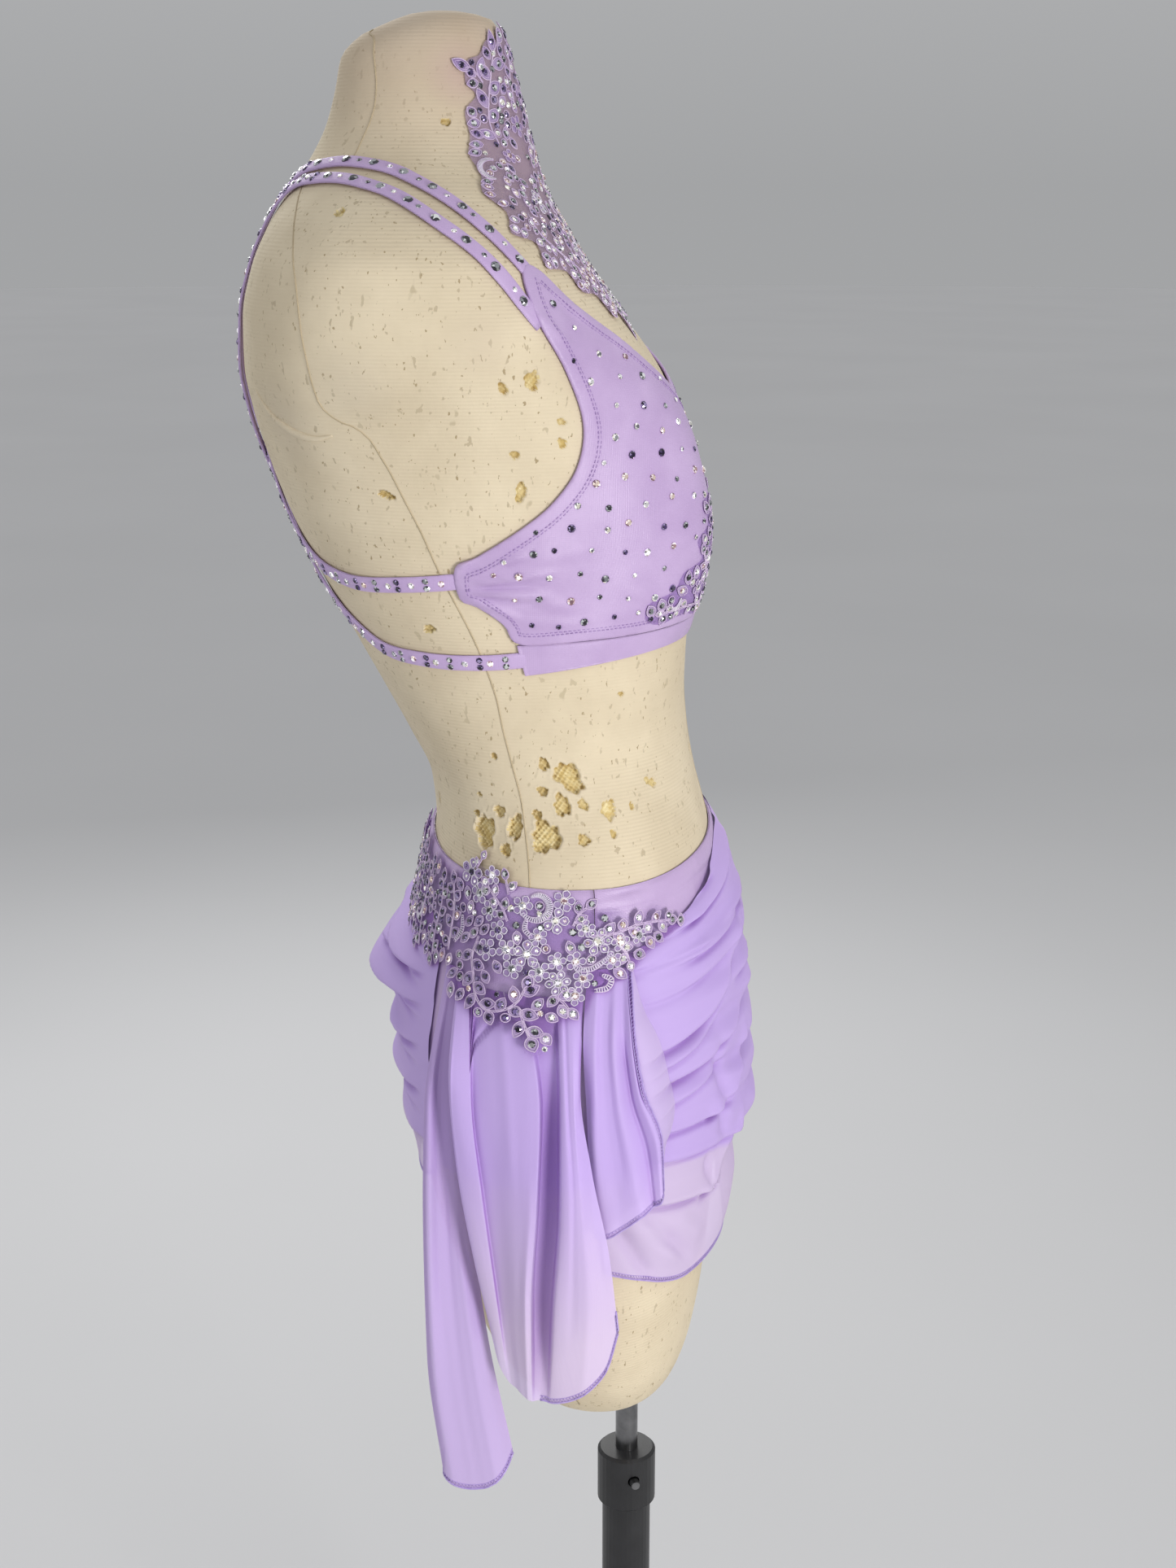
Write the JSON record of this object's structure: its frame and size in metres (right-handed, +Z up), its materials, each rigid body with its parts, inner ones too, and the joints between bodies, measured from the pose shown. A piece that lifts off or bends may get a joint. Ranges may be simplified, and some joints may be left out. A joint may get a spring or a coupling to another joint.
{
  "type": "two-piece lyrical dance costume on a limbless dress form and stand",
  "caption": "Lilac stretch crop top with criss-cross back straps and a draped chiffon hip skirt with hanging tails and corded lace, worn on a limbless dress form with a telescopic stand.",
  "frame": {"origin": "on the pole's axis at the underside of the base plate", "axes": "+Z up along the pole, the garment's front faces -Y and the wearer's right side is -X"},
  "size_m": [0.3779, 0.4234, 1.505],
  "materials": {
    "stand_black": "satin",
    "pole_steel": "brushed",
    "form_cover": "matte",
    "spandex": "satin",
    "chiffon": "matte",
    "lace": "satin"
  },
  "bodies": {
    "stand": {"base_plate": "stand_black", "outer_tube": "stand_black", "collar": "stand_black", "collar_screw": "pole_steel"},
    "mast": {"pole": "pole_steel"},
    "figure": {"dress_form": "form_cover", "bra_front": "spandex", "bra_band": "spandex", "strap_right_outer": "spandex", "strap_right_inner": "spandex", "strap_left_outer": "spandex", "strap_left_inner": "spandex", "skirt_front": "spandex", "skirt_back": "spandex", "drape_front": "chiffon", "drape_back": "chiffon", "tail_long": "chiffon", "tail_middle": "chiffon", "tail_short": "chiffon", "lace_neck": "lace", "lace_bra": "lace", "lace_hip": "lace"}
  },
  "joints": [
    {"name": "height_slide", "type": "slide", "parent": "stand", "child": "mast", "axis": [0, 0, 1], "range_m": [-0.05, 0.25]},
    {"name": "form_swivel", "type": "hinge", "parent": "mast", "child": "figure", "pos_m": [0, 0, 0.66], "axis": [0, 0, 1], "continuous": true}
  ]
}
